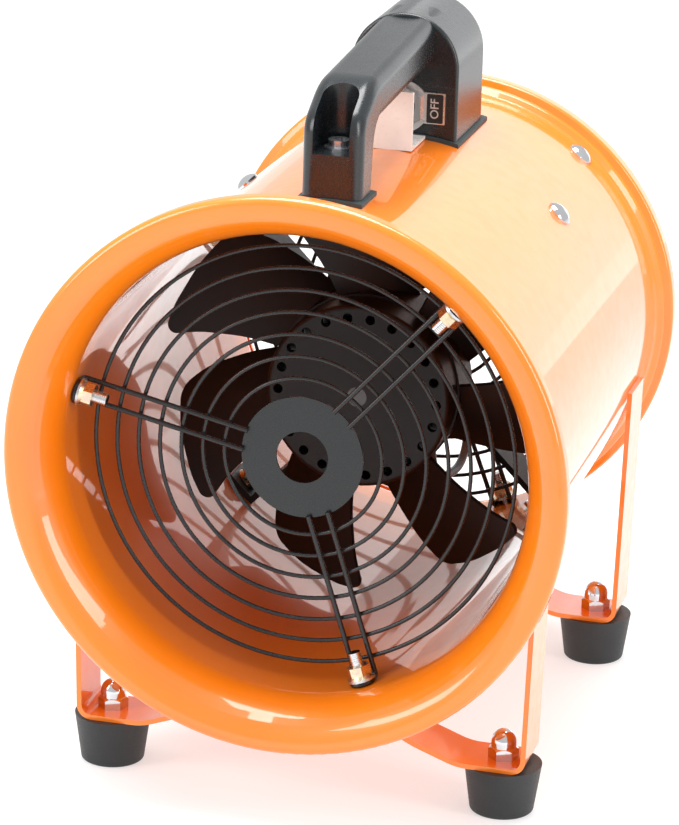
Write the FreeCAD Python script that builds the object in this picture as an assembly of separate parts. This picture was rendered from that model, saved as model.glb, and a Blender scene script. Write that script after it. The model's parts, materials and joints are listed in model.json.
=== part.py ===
import FreeCAD, Part
import math
import os
from FreeCAD import Vector as V

# Portable axial ventilator: a flared sheet-steel duct on two saddle legs, with wire guards at both mouths,
# a seven-blade impeller on a finned motor inside, and a moulded carrying handle that holds the switch.
# Millimetres. +Z up, -Y is the intake mouth, +X is to the right when looking into the intake.
# The origin is on the floor, below the middle of the duct. "Local" shapes are made about the duct's axis
# (the local Y axis) and lifted by AXIS_Z when they are written.

# Duct
LENGTH = 334.0
HALF = LENGTH / 2
AXIS_Z = 175.0
DUCT_R = 116.0
SHEET = 2.0
BORE_R = DUCT_R - SHEET
MID_R = DUCT_R - SHEET / 2
TUBE_END = 139.0
FRONT_RIM_R = 137.0
REAR_RIM_R = 124.0

# Legs and feet
FOOT_X = 99.5
FOOT_Y = 107.7
STRIP_W = 30.0
STRIP_T = 2.5
PLATFORM_TOP = 27.0
FOOT_H = PLATFORM_TOP - STRIP_T
FOOT_TOP_R = 19.0
FOOT_BASE_R = 15.5
FOOT_POCKET_R = 9.0
FOOT_POCKET_H = 9.0
M8_R = 4.0
M8_HEX = 13.0

# Guards
RING_COUNT = 8
RING_R = 103.7
RING_PITCH = 10.8
RING_WIRE = 1.0
SPOKE_WIRE = 1.25
SPOKE_HALF_GAP = 5.0
SPOKE_ANGLES = (48.0, 168.0, 288.0)
FOOT_LOOP = 12.05
LOOP_BEND = 2.0
LOOP_OFF_WALL = 0.15
DISC_R = 30.0
DISC_HOLE_R = 12.8
DISC_T = 1.0
GUARD_BOLT_REACH = 14.0
FRONT_GUARD_Y = -127.7
REAR_GUARD_Y = 135.3
REAR_GUARD_TURN = 3.0

# M6 fasteners that pass through the duct wall
M6_R = 3.0
M6_HEX = 10.0
HEAD_R = 6.8
HEAD_H = 4.0
HEAD_BALL_R = 9.0
WASHER_R = 6.8
WASHER_T = 1.2
FLANGE_NUT_H = 6.0
FLANGE_R = 6.6

# Impeller
BLADE_COUNT = 7
BLADE_FIRST_ANGLE = 147.8
BLADE_PITCH = 30.0
BLADE_T = 2.0
BLADE_TIP_R = 105.0
BLADE_CAMBER_R = 174.0
IMPELLER_Y = -2.8

# External-rotor motor: the cup turns round a stator that is held from behind
CUP_R = 47.0
CUP_WALL = 2.5
CUP_FRONT = -28.0
CUP_FACE_T = 4.0
CUP_BACK = 20.0
CUP_BOSS_R = 12.0
CUP_BOSS_L = 6.5
CUP_HOLES = 22
CUP_HOLE_R = 2.5
CUP_HOLE_CIRCLE = 40.8
BLADE_RING_R = 48.0
BLADE_RING_FRONT = -9.0
BLADE_RING_BACK = 17.0
ROTOR_BORE_R = 38.4
STATOR_R = 38.0
STACK_HALF = 15.0
WINDING_H = 6.5
CARRIER_R = 14.0
CARRIER_FRONT = -19.0
BEARING_R = 11.0
BEARING_W = 8.0
BEARING_PLAY = 0.03
SHAFT_R = 5.0
SHAFT_END = 37.5
COVER_R = 36.0
COVER_FRONT = 23.0
COVER_BACK = 46.0
COVER_T = 4.0
COVER_HOLE_R = 4.5

# Motor mounting
ARM_ANGLES = (45.0, 135.0, 225.0, 315.0)
ARM_Y = 52.0
ARM_W = 25.0
ARM_T = 3.0
ARM_OFFSET = 7.2
ARM_FOOT_HALF = 8.0
SPIDER_T = 3.0
SPIDER_SCREW_CIRCLE = 27.0
M5_R = 2.5

# Handle
GRIP_W = 30.0
PAD_T = 2.0
PAD_LIP = 1.6
SEAT_R = DUCT_R + PAD_T
BOX_HALF_W = 28.0
BOX_FRONT = 48.0
BOX_BACK = 108.0
BOX_ARCH_Z = 326.0
BOX_WALL = 3.0
LEG_FRONT = -91.0
LEG_BACK = -66.5
POCKET_Y = -75.0
POCKET_R = 9.0
POCKET_FLOOR = 313.9
BUTTON_HEAD_R = 5.2
BUTTON_HEAD_H = 3.3
BUTTON_SOCKET = 4.0
BUTTON_SOCKET_DEPTH = 2.0
REAR_SCREW_X = 19.0
REAR_SCREW_YS = (58.0, 98.0)
REAR_SCREW_TOP = 299.0
POST_R = 4.8
POST_RIB_T = 4.0
POST_TOP = 303.0

# Switch
SWITCH_Z = 306.5
BUSHING_R = 6.0
BUSHING_BORE_R = 4.5
BUSHING_TIP_Y = 40.0
SWITCH_HEX = 20.0
LEVER_PIVOT_Y = 49.5
LEVER_TILT = 12.0
LEVER_LENGTH = 24.0
LEVER_BALL_R = 4.1
LEVER_PIN_R = 1.2
LEVER_PIN_HALF = 5.0
LEVER_PIN_PLAY = 0.05
LEVER_PIN_END_GAP = 0.3
LEGEND_R = 13.5
LEGEND_TAB_X = 22.0
LEGEND_TAB_Z = 8.0
LEGEND_T = 1.0

# Switch shield
SHIELD_Y = 18.0
SHIELD_HALF_W = 12.5
SHIELD_T = 2.0
SHIELD_TOP = 321.0

# Cord gland in the back of the switch box
GLAND_Z = 311.0
GLAND_THREAD_R = 7.6
GLAND_BORE_R = 4.2

# Motor lead: out of the back of the motor, down in a slack loop, then up to the switch box
# (x, y, height above the axis)
LEAD_R = 2.3
LEAD_CORNER_SHARE = 0.45
LEAD_ROUTE = (
    (0.0, 42.0, 0.0), (0.0, 68.0, 0.0), (5.0, 80.0, -22.0), (11.0, 81.0, -46.0), (15.0, 83.0, -80.0),
    (23.0, 126.0, -80.0), (20.0, 124.0, -38.0), (13.0, 117.0, 5.0), (4.0, 105.0, 50.0), (0.0, 90.0, 82.0),
    (0.0, 88.0, 104.0), (0.0, 88.0, 127.0),
)
GROMMET_R = 6.0
GROMMET_LIP_R = 8.5


# Helpers

def save(name, shape):
    shape.exportStep(f"parts/{name}.step")


def save_local(name, shape):
    """Write a shape made about the duct's axis."""
    save(name, shape.translated(V(0, 0, AXIS_Z)))


def group(shapes):
    return Part.makeCompound(list(shapes))


def box(x0, x1, y0, y1, z0, z1):
    return Part.makeBox(x1 - x0, y1 - y0, z1 - z0, V(x0, y0, z0))


def rod(radius, start, end):
    return Part.makeCylinder(radius, (end - start).Length, start, end - start)


def tube(outer, inner, y0, y1):
    """A tube along the local Y axis."""
    return rod(outer, V(0, y0, 0), V(0, y1, 0)).cut(rod(inner, V(0, y0, 0), V(0, y1, 0)))


def hexagon(across_flats, start, end, turn=0.0):
    """A hexagonal prism along +Z of length |end - start|, then stood between the two points."""
    corner = across_flats / math.sqrt(3)
    angles = [math.radians(60 * k + turn) for k in range(7)]
    outline = Part.makePolygon([V(corner * math.cos(a), corner * math.sin(a), 0) for a in angles])
    prism = Part.Face(outline).extrude(V(0, 0, (end - start).Length))
    prism.Placement = FreeCAD.Placement(start, FreeCAD.Rotation(V(0, 0, 1), end - start))
    return prism


def spun(shape, angle):
    """Turn a local shape about the duct's axis; 0 is +X and 90 is up."""
    turned = shape.copy()
    turned.rotate(V(0, 0, 0), V(0, 1, 0), -angle)
    return turned


def unit(a, b):
    length = math.hypot(b[0] - a[0], b[1] - a[1])
    return ((b[0] - a[0]) / length, (b[1] - a[1]) / length)


def shifted_path(points, radii, shift):
    """An open path moved to its left by shift, with its bend radii changed to match."""
    dirs = [unit(a, b) for a, b in zip(points, points[1:])]
    dirs = [dirs[0]] + dirs + [dirs[-1]]
    moved = []
    bends = []
    for point, radius, before, after in zip(points, radii, dirs, dirs[1:]):
        left = (-before[1] - after[1], before[0] + after[0])
        scale = shift / (1 + before[0] * after[0] + before[1] * after[1])
        turn = before[0] * after[1] - before[1] * after[0]
        moved.append((point[0] + left[0] * scale, point[1] + left[1] * scale))
        inner = shift if turn > 0 else -shift
        bends.append(radius - inner if radius else 0)
    return moved, bends


def corner_arc(before, corner, after, radius):
    """Start, middle and end of the arc that rounds a corner."""
    back = unit(corner, before)
    ahead = unit(corner, after)
    half = math.acos(max(-1.0, min(1.0, back[0] * ahead[0] + back[1] * ahead[1]))) / 2
    reach = radius / math.tan(half)
    middle = unit((0, 0), (back[0] + ahead[0], back[1] + ahead[1]))
    depth = radius / math.sin(half) - radius
    start = (corner[0] + back[0] * reach, corner[1] + back[1] * reach)
    end = (corner[0] + ahead[0] * reach, corner[1] + ahead[1] * reach)
    return start, (corner[0] + middle[0] * depth, corner[1] + middle[1] * depth), end


def rounded_edges(points, radii, to3d, closed=False):
    """Lines and arcs through the points, each corner rounded by its radius."""
    count = len(points)
    ends = []
    edges = []
    for k, (point, radius) in enumerate(zip(points, radii)):
        inner = closed or 0 < k < count - 1
        if radius and inner:
            arc = corner_arc(points[k - 1], point, points[(k + 1) % count], radius)
            edges.append(Part.Arc(*[to3d(*p) for p in arc]).toShape())
            ends.append((arc[0], arc[2]))
        else:
            ends.append((point, point))
    last = count if closed else count - 1
    for k in range(last):
        start = to3d(*ends[k][1])
        end = to3d(*ends[(k + 1) % count][0])
        if start.distanceToPoint(end) > 1e-6:
            edges.append(Part.makeLine(start, end))
    return edges


def face_of(edges):
    return Part.Face(Part.Wire(Part.__sortEdges__(edges)))


def rounded_face(points, radii, to3d):
    return face_of(rounded_edges(points, radii, to3d, closed=True))


def strip_face(points, radii, thickness, to3d):
    """The section of a bent sheet that follows an open path."""
    left, left_radii = shifted_path(points, radii, thickness / 2)
    right, right_radii = shifted_path(points, radii, -thickness / 2)
    edges = rounded_edges(left, left_radii, to3d) + rounded_edges(right, right_radii, to3d)
    edges.append(Part.makeLine(to3d(*left[0]), to3d(*right[0])))
    edges.append(Part.makeLine(to3d(*left[-1]), to3d(*right[-1])))
    return face_of(edges)


def on_profile(r, y):
    return V(r, y, 0)


def on_front(x, z):
    return V(x, 0, z)


def on_side(y, z):
    return V(0, y, z)


def turned_ring(face):
    return face.revolve(V(0, 0, 0), V(0, 1, 0), 360)


# Duct

def guard_bolt_spots():
    """Angle and Y of every guard bolt."""
    spots = [(a, FRONT_GUARD_Y - FOOT_LOOP + SPOKE_HALF_GAP) for a in SPOKE_ANGLES]
    return spots + [(a + REAR_GUARD_TURN, REAR_GUARD_Y + FOOT_LOOP - SPOKE_HALF_GAP) for a in SPOKE_ANGLES]


def rear_screw_spots():
    return [(s * REAR_SCREW_X, y) for s in (-1, 1) for y in REAR_SCREW_YS]


def wall_holes():
    """Holes through the duct wall for bolts, screws and the motor lead, as local rods."""
    spots = guard_bolt_spots() + [(a, ARM_Y) for a in ARM_ANGLES] + [(90.0, POCKET_Y)]
    holes = [spun(rod(M6_R, V(BORE_R - 5, y, 0), V(DUCT_R + 5, y, 0)), a) for a, y in spots]
    x, y, _ = LEAD_ROUTE[-1]
    holes.append(rod(GROMMET_R, V(x, y, BORE_R - 5), V(x, y, DUCT_R + 5)))
    return holes + [rod(M5_R, V(x, y, 90), V(x, y, 120)) for x, y in rear_screw_spots()]


def duct_body():
    return tube(DUCT_R, BORE_R, -TUBE_END, TUBE_END).cut(wall_holes())


def front_bell():
    """Intake bell: a wide flare that ends in an edge rolled back on itself."""
    lip = FRONT_RIM_R - SHEET / 2
    face_y = -HALF + SHEET / 2
    points = [(MID_R, -TUBE_END), (MID_R, -151.0), (127.3, face_y), (lip, face_y), (lip, -159.0)]
    return turned_ring(strip_face(points, [0, 28.0, 12.0, 2.6, 0], SHEET, on_profile))


def rear_bell():
    """Outlet collar: a short flare, a step, and a band that a flexible duct is strapped over."""
    band = REAR_RIM_R - SHEET / 2
    end_y = HALF - SHEET / 2
    points = [(MID_R, TUBE_END), (MID_R, 151.0), (119.0, 155.0), (119.0, 156.6), (band, 158.4), (band, end_y), (118.5, end_y)]
    return turned_ring(strip_face(points, [0, 5.0, 1.5, 1.2, 1.2, 1.5, 0], SHEET, on_profile)).cut(wall_holes())


# Legs

def leg_bracket(y):
    """One flat strip bent into a saddle under the duct, two foot platforms and two uprights."""
    level = PLATFORM_TOP - STRIP_T / 2
    saddle = AXIS_Z - DUCT_R - STRIP_T / 2
    half = [(115.12, 153.0), (112.2, level), (80.0, level), (56.0, 34.5), (16.0, saddle)]
    half_radii = [0, 6.0, 30.0, 60.0, 20.0]
    points = half + [(-x, z) for x, z in reversed(half)]
    radii = half_radii + list(reversed(half_radii))
    strip = strip_face(points, radii, STRIP_T, on_front).extrude(V(0, STRIP_W, 0))
    strip.translate(V(0, y - STRIP_W / 2, 0))
    holes = [rod(M8_R, V(s * FOOT_X, y, 0), V(s * FOOT_X, y, 50)) for s in (-1, 1)]
    return strip.cut(holes)


def rubber_foot(x, y):
    cone = Part.makeCone(FOOT_BASE_R, FOOT_TOP_R, FOOT_H, V(x, y, 0))
    cone = cone.makeFillet(1.8, [e for e in cone.Edges if e.BoundBox.ZMax < 0.1])
    pocket = rod(FOOT_POCKET_R, V(x, y, 0), V(x, y, FOOT_POCKET_H))
    hole = rod(M8_R, V(x, y, 0), V(x, y, FOOT_H))
    return cone.cut([pocket, hole])


def foot_bolt(x, y):
    head_z = FOOT_POCKET_H - 5.3
    head = hexagon(M8_HEX, V(x, y, head_z), V(x, y, FOOT_POCKET_H))
    return head.fuse(rod(M8_R, V(x, y, FOOT_POCKET_H), V(x, y, PLATFORM_TOP + 10.5))).removeSplitter()


def acorn_nut(x, y):
    base = PLATFORM_TOP
    flats = hexagon(M8_HEX, V(x, y, base), V(x, y, base + 6.5), 15.0)
    cone = Part.makeCone(M8_HEX * 0.58, M8_HEX * 0.58 - 6.5, 6.5, V(x, y, base + 4.6))
    flats = flats.cut(rod(20, V(x, y, base + 4.6), V(x, y, base + 7)).cut(cone))
    dome_r = 6.2
    dome = Part.makeSphere(dome_r, V(x, y, base + 8.6))
    dome = dome.fuse(rod(dome_r, V(x, y, base + 5), V(x, y, base + 8.6)))
    dome = dome.common(rod(dome_r + 1, V(x, y, base + 5), V(x, y, base + 20)))
    return flats.fuse(dome).cut(rod(M8_R, V(x, y, base), V(x, y, base + 10.5))).removeSplitter()


# Guards

def spoke_rise(r):
    """How far a spoke stands out from its level at the wall."""
    return (RING_R - r) / (RING_R - DISC_R)


def ring_y(guard_y, side, r):
    """Rings lie against the inner side of the spokes, or of the disc if they are under it."""
    under = DISC_T if r < DISC_R else 0.0
    return guard_y + side * (spoke_rise(max(r, DISC_R)) - SPOKE_WIRE - RING_WIRE - under)


def guard_rings(guard_y, side):
    radii = [RING_R - k * RING_PITCH for k in range(RING_COUNT)]
    return group(Part.makeTorus(r, RING_WIRE, V(0, ring_y(guard_y, side, r), 0), V(0, 1, 0)) for r in radii)


def guard_disc(guard_y, side):
    outer = guard_y + side * (spoke_rise(DISC_R) - SPOKE_WIRE)
    inner = outer - side * DISC_T
    return tube(DISC_R, DISC_HOLE_R, min(outer, inner), max(outer, inner))


def swept_wire(edges, radius):
    path = Part.Wire(edges)
    start = path.Vertexes[0].Point
    direction = path.Edges[0].tangentAt(path.Edges[0].FirstParameter)
    section = Part.Wire(Part.makeCircle(radius, start, direction))
    return path.makePipeShell([section], True, True)


def guard_spoke(guard_y, side, angle):
    """A closed-end wire loop: two straight legs, turned along the wall and joined round the bolt."""
    wall_r = BORE_R - SPOKE_WIRE - LOOP_OFF_WALL
    gap = SPOKE_HALF_GAP
    bend = LOOP_BEND
    start_r = DISC_R - 1.5
    start_y = guard_y + side * spoke_rise(start_r)
    loop_y = guard_y + side * FOOT_LOOP
    lean = math.atan2(guard_y - start_y, wall_r - start_r)
    k = math.sin(math.pi / 4)
    corner_start = V(wall_r - bend, guard_y - math.tan(lean) * bend, gap)
    legs = []
    for z in (gap, -gap):
        a = V(start_r, start_y, z)
        b = V(corner_start.x, corner_start.y, z)
        c = V(wall_r - bend + bend * k, guard_y + side * bend * (1 - k), z)
        d = V(wall_r, guard_y + side * bend, z)
        legs.append([Part.makeLine(a, b), Part.Arc(b, c, d).toShape(), Part.makeLine(d, V(wall_r, loop_y - side * gap, z))])
    turn = Part.Arc(V(wall_r, loop_y - side * gap, gap), V(wall_r, loop_y, 0), V(wall_r, loop_y - side * gap, -gap)).toShape()
    edges = legs[0] + [turn] + [e for e in reversed(legs[1])]
    return spun(swept_wire(Part.__sortEdges__(edges), SPOKE_WIRE), angle)


def wall_bolt(angle, y, inner_r):
    """Round-headed M6 bolt from outside the duct, pointing at the axis."""
    crown = Part.makeSphere(HEAD_BALL_R, V(DUCT_R + HEAD_H - HEAD_BALL_R, y, 0))
    head = crown.common(rod(HEAD_R, V(DUCT_R - 1, y, 0), V(DUCT_R + HEAD_H, y, 0)))
    head = head.cut(rod(DUCT_R, V(0, y - 20, 0), V(0, y + 20, 0)))
    shank = rod(M6_R, V(inner_r, y, 0), V(DUCT_R + 1, y, 0))
    return spun(head.fuse(shank).removeSplitter(), angle)


def wall_washer(angle, y, seat_r):
    hole = rod(M6_R, V(seat_r - 5, y, 0), V(seat_r + 5, y, 0))
    return spun(rod(WASHER_R, V(seat_r - WASHER_T, y, 0), V(seat_r, y, 0)).cut(hole), angle)


def wall_nut(angle, y, seat_r):
    """Hexagon nut with a flange, on the inner end of a wall bolt."""
    flange = Part.makeCone(FLANGE_R, M6_HEX / 2, 1.8, V(seat_r, y, 0), V(-1, 0, 0))
    flats = hexagon(M6_HEX, V(seat_r - 1.2, y, 0), V(seat_r - FLANGE_NUT_H, y, 0))
    hole = rod(M6_R, V(seat_r - 20, y, 0), V(seat_r + 5, y, 0))
    return spun(flange.fuse(flats).cut(hole).removeSplitter(), angle)


# Impeller and rotor

def blade_outline():
    """Axe-shaped outline in the plane of span (x) and chord (y): one corner swept forward, the other well rounded."""
    trailing = [(34.0, -29.5), (62.0, -31.5), (86.0, -29.5), (102.5, -21.0)]
    tip = [(BLADE_TIP_R, 2.0), (102.5, 27.0), (98.0, 42.0)]
    leading = [(84.0, 30.0), (64.0, 18.5), (34.0, 7.5)]
    radii = [0, 100.0, 40.0, 14.0, 80.0, 40.0, 4.5, 60.0, 80.0, 0]
    return rounded_face(trailing + tip + leading, radii, lambda x, y: V(x, y, -60))


def impeller_blade(angle):
    """A cambered sheet blade whose leading edge faces the intake."""
    centre = V(0, 0, -BLADE_CAMBER_R)
    shell = rod(BLADE_CAMBER_R + BLADE_T / 2, centre, centre + V(200, 0, 0))
    shell = shell.cut(rod(BLADE_CAMBER_R - BLADE_T / 2, centre, centre + V(200, 0, 0)))
    blade = shell.common(blade_outline().extrude(V(0, 0, 120)))
    blade.rotate(V(0, 0, 0), V(1, 0, 0), 90 + BLADE_PITCH)
    blade.translate(V(0, IMPELLER_Y, 0))
    return spun(blade.cut(rod(BLADE_RING_R, V(0, -60, 0), V(0, 60, 0))), angle)


def blade_ring():
    return tube(BLADE_RING_R, CUP_R, BLADE_RING_FRONT, BLADE_RING_BACK)


def rotor_cup():
    """Deep-drawn cup, open to the rear, with a boss for the shaft and a circle of air holes."""
    face_back = CUP_FRONT + CUP_FACE_T
    points = [(SHAFT_R, CUP_FRONT), (CUP_R, CUP_FRONT), (CUP_R, CUP_BACK), (CUP_R - CUP_WALL, CUP_BACK),
              (CUP_R - CUP_WALL, face_back), (CUP_BOSS_R, face_back), (CUP_BOSS_R, face_back + CUP_BOSS_L - CUP_FACE_T),
              (SHAFT_R, face_back + CUP_BOSS_L - CUP_FACE_T)]
    cup = turned_ring(rounded_face(points, [0, 2.4, 0, 0, 0.8, 0.8, 0, 0], on_profile))
    hole = rod(CUP_HOLE_R, V(CUP_HOLE_CIRCLE, CUP_FRONT - 1, 0), V(CUP_HOLE_CIRCLE, face_back + 1, 0))
    return cup.cut([spun(hole, k * 360.0 / CUP_HOLES) for k in range(CUP_HOLES)])


def rotor_ring():
    """Laminated squirrel-cage ring, pressed into the cup."""
    return tube(CUP_R - CUP_WALL, ROTOR_BORE_R, -STACK_HALF, STACK_HALF)


def motor_shaft():
    return rod(SHAFT_R, V(0, CUP_FRONT, 0), V(0, SHAFT_END, 0))


def shaft_circlip():
    front = SHAFT_END - 2.2
    return tube(SHAFT_R + 2.2, SHAFT_R, front, front + 1.0)


# Motor

def stator_core():
    """Laminated stack with winding slots, open at its outer edge."""
    core = tube(STATOR_R, CARRIER_R, -STACK_HALF, STACK_HALF)
    slot = box(19.0, STATOR_R - 3.5, -20, 20, -2.2, 2.2).fuse(box(30.0, STATOR_R + 1, -20, 20, -0.9, 0.9))
    return core.cut([spun(slot, 30.0 * k) for k in range(12)])


def stator_windings():
    """The two heads of copper wire that stand out of the stack."""
    heads = []
    for start, end in ((-STACK_HALF - WINDING_H, -STACK_HALF), (STACK_HALF, STACK_HALF + WINDING_H)):
        face = rounded_face([(17, start), (35, start), (35, end), (17, end)], [2.5] * 4, on_profile)
        heads.append(turned_ring(face))
    return group(heads)


def stator_carrier():
    """Cast cover behind the stator, with a hollow spigot that carries the stack and both bearings."""
    inner_y = COVER_BACK - COVER_T
    points = [(BEARING_R, CARRIER_FRONT), (CARRIER_R, CARRIER_FRONT), (CARRIER_R, inner_y), (COVER_R - 2.5, inner_y),
              (COVER_R - 2.5, COVER_FRONT), (COVER_R, COVER_FRONT), (COVER_R, COVER_BACK), (COVER_HOLE_R, COVER_BACK),
              (COVER_HOLE_R, inner_y), (BEARING_R, inner_y)]
    cover = turned_ring(rounded_face(points, [0, 0, 1.5, 2.0, 0, 0, 3.0, 0, 0, 0], on_profile))
    rib = box(COVER_R - 1, COVER_R + 2.2, COVER_FRONT + 2, ARM_Y - ARM_W / 2 - 1, -0.9, 0.9)
    return cover.fuse([spun(rib, 15.0 * k) for k in range(24)]).cut(spider_screw_holes()).removeSplitter()


def spider_screw_holes():
    hole = rod(M5_R, V(SPIDER_SCREW_CIRCLE, COVER_BACK - 8, 0), V(SPIDER_SCREW_CIRCLE, COVER_BACK + 9, 0))
    return [spun(hole, 90.0 * k) for k in range(4)]


def bearing(start):
    return tube(BEARING_R, SHAFT_R + BEARING_PLAY, start, start + BEARING_W)


def motor_arm(angle):
    """Flat strip on edge from the motor to the wall, with its end bent to lie along the wall."""
    y0 = ARM_Y - ARM_W / 2
    y1 = ARM_Y + ARM_W / 2
    z0 = ARM_OFFSET
    strip = box(14.0, BORE_R, y0, y1, z0, z0 + ARM_T).cut(box(0, COVER_R + 2.5, y0 - 1, COVER_BACK, 0, 20))
    strip = strip.common(rod(BORE_R, V(0, y0 - 1, 0), V(0, y1 + 1, 0)))
    wall = tube(BORE_R, BORE_R - ARM_T, y0, y1)
    foot = wall.common(box(90, 130, y0, y1, -ARM_FOOT_HALF, z0 + ARM_T))
    return spun(strip.fuse(foot), angle)


def motor_spider():
    """Four arms on a round plate that is screwed to the back of the motor."""
    plate = tube(COVER_R, COVER_HOLE_R + 4, COVER_BACK, COVER_BACK + SPIDER_T)
    spider = plate.fuse([motor_arm(a) for a in ARM_ANGLES]).removeSplitter()
    bolts = [spun(rod(M6_R, V(BORE_R - 9, ARM_Y, 0), V(BORE_R + 5, ARM_Y, 0)), a) for a in ARM_ANGLES]
    return spider.cut(bolts + spider_screw_holes())


def spider_screw(angle):
    seat = COVER_BACK + SPIDER_T
    shank = rod(M5_R, V(SPIDER_SCREW_CIRCLE, COVER_BACK - COVER_T, 0), V(SPIDER_SCREW_CIRCLE, seat, 0))
    head = rod(4.4, V(SPIDER_SCREW_CIRCLE, seat, 0), V(SPIDER_SCREW_CIRCLE, seat + 3.0, 0))
    return spun(shank.fuse(head).removeSplitter(), angle)


def motor_grommet():
    """Rubber ring that guards the lead where it leaves the motor."""
    bore = LEAD_R + 0.1
    return tube(COVER_HOLE_R, bore, COVER_BACK - COVER_T, COVER_BACK).fuse(
        tube(COVER_HOLE_R + 2.5, bore, COVER_BACK, COVER_BACK + 2)).removeSplitter()


# Motor lead

def lead_path():
    """Straight runs joined by tangent arcs; prints each bend's radius."""
    points = [V(*p) for p in LEAD_ROUTE]
    edges = []
    cursor = points[0]
    radii = []
    for before, corner, after in zip(points, points[1:], points[2:]):
        back = (before - corner).normalize()
        ahead = (after - corner).normalize()
        turn = math.pi - back.getAngle(ahead)
        reach = LEAD_CORNER_SHARE * min((before - corner).Length, (after - corner).Length)
        radius = reach / math.tan(turn / 2)
        depth = radius / math.cos(turn / 2) - radius
        start = corner + back * reach
        middle = corner + (back + ahead).normalize() * depth
        end = corner + ahead * reach
        edges.append(Part.makeLine(cursor, start))
        edges.append(Part.Arc(start, middle, end).toShape())
        cursor = end
        radii.append(radius)
    edges.append(Part.makeLine(cursor, points[-1]))
    print("lead bend radii", [round(r, 1) for r in radii])
    return edges


def motor_lead():
    edges = lead_path()
    lead = swept_wire(edges, LEAD_R)
    length = sum(e.Length for e in edges)
    print("lead length", round(length, 1), "volume ratio", round(lead.Volume / (math.pi * LEAD_R ** 2 * length), 4))
    return lead


def duct_grommet():
    x, y, _ = LEAD_ROUTE[-1]
    barrel = rod(GROMMET_R, V(x, y, BORE_R - 1.5), V(x, y, DUCT_R + 1.5))
    lips = [rod(GROMMET_LIP_R, V(x, y, BORE_R - 2.6), V(x, y, BORE_R - 0.35)), rod(GROMMET_LIP_R, V(x, y, DUCT_R), V(x, y, DUCT_R + 2))]
    bore = rod(LEAD_R + 0.1, V(x, y, BORE_R - 9), V(x, y, DUCT_R + 9))
    return barrel.fuse(lips).cut(bore).removeSplitter()


# Handle

def arch_face(half_width, y, floor_z):
    """Tombstone outline in a plane of constant y."""
    corners = [(-half_width, floor_z), (-half_width, BOX_ARCH_Z), (half_width, BOX_ARCH_Z), (half_width, floor_z)]
    p = [V(x, y, z) for x, z in corners]
    top = Part.Arc(p[1], V(0, y, BOX_ARCH_Z + half_width), p[2]).toShape()
    return face_of([Part.makeLine(p[0], p[1]), top, Part.makeLine(p[2], p[3]), Part.makeLine(p[3], p[0])])


def grip():
    """Front leg and grip, bent in side view, with rounded long edges."""
    points = [(LEG_FRONT, 280), (-90, 331), (-64, 345.3), (70, 353.3), (70, 328.9), (-61, 323.0), (LEG_BACK, 280)]
    face = rounded_face(points, [0, 14.0, 40.0, 0, 0, 12.0, 0], on_side)
    bar = face.extrude(V(GRIP_W, 0, 0))
    bar.translate(V(-GRIP_W / 2, 0, 0))
    side_edges = [e for e in bar.Edges if abs(abs(e.BoundBox.XMin) - GRIP_W / 2) < 0.01 and e.BoundBox.XLength < 0.01]
    long_edges = [e for e in side_edges if e.BoundBox.ZMin > 279.9 and e.BoundBox.ZLength + e.BoundBox.YLength > 1
                  and not (e.BoundBox.ZMax < 280.1 or e.BoundBox.YMin > 69.9)]
    return bar.makeFillet(7.0, long_edges)


def switch_box():
    shell = arch_face(BOX_HALF_W, BOX_FRONT, 275).extrude(V(0, BOX_BACK - BOX_FRONT, 0))
    back_edges = [e for e in shell.Edges if e.BoundBox.YMin > BOX_BACK - 0.1 and e.BoundBox.ZMax > 276]
    shell = shell.makeFillet(7.0, back_edges)
    front_edges = [e for e in shell.Edges if e.BoundBox.YMax < BOX_FRONT + 0.1 and e.BoundBox.ZMax > 276]
    return shell.makeFillet(1.6, front_edges)


def screw_post(x, y):
    """Post for a rear screw, with the rib that joins it to the side wall."""
    wall_x = math.copysign(BOX_HALF_W, x)
    rib = box(min(x, wall_x), max(x, wall_x), y - POST_RIB_T / 2, y + POST_RIB_T / 2, 285, POST_TOP)
    return rod(POST_R, V(x, y, 285), V(x, y, POST_TOP)).fuse(rib)


def handle_moulding():
    """One moulding, drawn as two solids that share the section of the grip at the switch box's front wall."""
    body = switch_box().fuse(grip()).removeSplitter()
    cavity = arch_face(BOX_HALF_W - BOX_WALL, BOX_FRONT + BOX_WALL, 270)
    body = body.cut(cavity.extrude(V(0, BOX_BACK - BOX_FRONT - 2 * BOX_WALL, 0)))
    room = arch_face(BOX_HALF_W - 0.5, BOX_FRONT + 1, 270).extrude(V(0, BOX_BACK - BOX_FRONT - 2, 0))
    body = body.fuse([screw_post(x, y).common(room) for x, y in rear_screw_spots()])
    cuts = [rod(SEAT_R, V(0, -150, AXIS_Z), V(0, 150, AXIS_Z))]
    cuts.append(rod(POCKET_R, V(0, POCKET_Y, POCKET_FLOOR), V(0, POCKET_Y, 360)))
    cuts.append(box(-POCKET_R, POCKET_R, -110, POCKET_Y, POCKET_FLOOR, 360))
    cuts.append(rod(M6_R, V(0, POCKET_Y, 270), V(0, POCKET_Y, 360)))
    cuts.append(rod(BUSHING_R, V(0, 30, SWITCH_Z), V(0, BOX_FRONT + 9, SWITCH_Z)))
    cuts.append(rod(GLAND_THREAD_R, V(0, BOX_BACK - 9, GLAND_Z), V(0, BOX_BACK + 9, GLAND_Z)))
    cuts += [rod(M5_R, V(x, y, 270), V(x, y, REAR_SCREW_TOP)) for x, y in rear_screw_spots()]
    body = body.cut(cuts).removeSplitter()
    ahead_of_box = box(-BOX_HALF_W, BOX_HALF_W, LEG_FRONT - 20, BOX_FRONT, 270, 360)
    return group(body.common(ahead_of_box).Solids + body.cut(ahead_of_box).Solids)


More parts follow.
